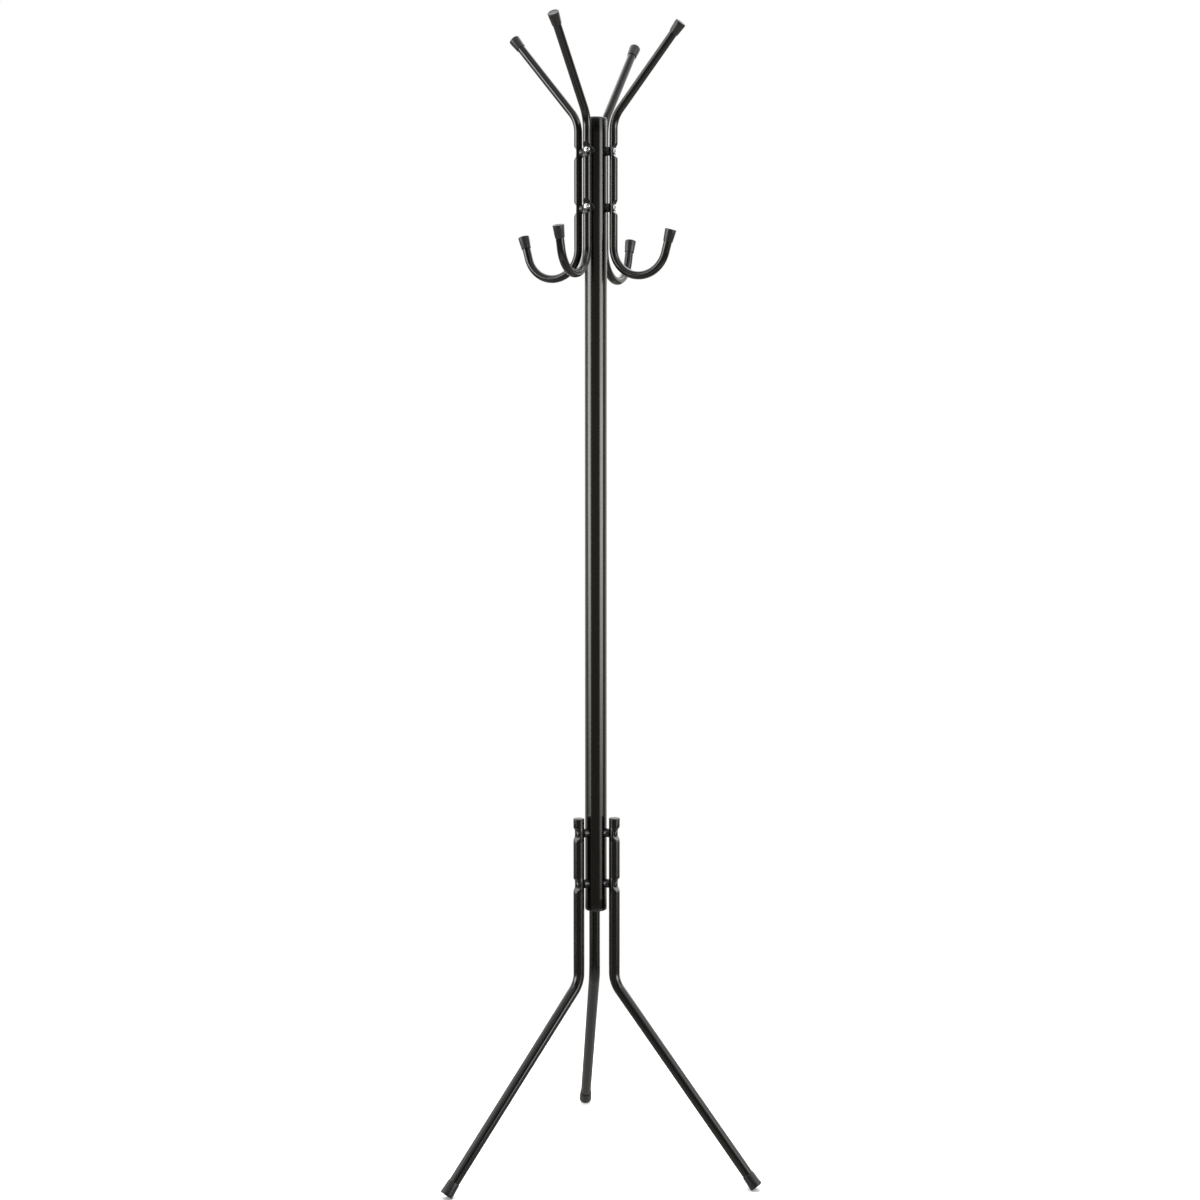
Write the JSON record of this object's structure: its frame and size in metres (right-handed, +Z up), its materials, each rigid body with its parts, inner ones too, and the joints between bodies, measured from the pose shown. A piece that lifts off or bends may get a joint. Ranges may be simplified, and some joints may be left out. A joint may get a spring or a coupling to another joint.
{
  "type": "coat rack",
  "caption": "Free-standing steel tube coat rack: a pole on splayed bent legs, with bent tubes round its top that each make a hat prong above and a coat hook below.",
  "frame": {"origin": "on the floor, in line with the pole's axis", "axes": "+Z up along the pole; +X along one hook tube and one leg, which lie in the same upright plane"},
  "size_m": [0.3996, 0.4572, 1.6496],
  "materials": {
    "black_lacquer": "gloss black stove enamel on steel tube",
    "cap_plastic": "satin black moulded PVC",
    "spacer_plastic": "gloss black moulded plastic",
    "foot_rubber": "matte black rubber",
    "zinc_screw": "bright zinc plate",
    "dark_screw": "blackened steel",
    "nut_steel": "yellow passivated zinc plate"
  },
  "bodies": {
    "root": {"pole_tube": "black_lacquer", "pole_top_plug": "cap_plastic", "pole_bottom_plug": "cap_plastic", "hook_tube_1": "black_lacquer", "hook_tube_2": "black_lacquer", "hook_tube_3": "black_lacquer", "hook_tube_4": "black_lacquer", "prong_cap_1": "cap_plastic", "prong_cap_2": "cap_plastic", "prong_cap_3": "cap_plastic", "prong_cap_4": "cap_plastic", "hook_cap_1": "cap_plastic", "hook_cap_2": "cap_plastic", "hook_cap_3": "cap_plastic", "hook_cap_4": "cap_plastic", "leg_tube_1": "black_lacquer", "leg_tube_2": "black_lacquer", "leg_tube_3": "black_lacquer", "leg_plug_1": "cap_plastic", "leg_plug_2": "cap_plastic", "leg_plug_3": "cap_plastic", "foot_cap_1": "foot_rubber", "foot_cap_2": "foot_rubber", "foot_cap_3": "foot_rubber", "hook_spacers": "spacer_plastic", "leg_spacers": "spacer_plastic", "hook_screws": "zinc_screw", "leg_screws": "dark_screw", "hook_nuts": "nut_steel", "leg_nuts": "nut_steel"}
  },
  "joints": []
}
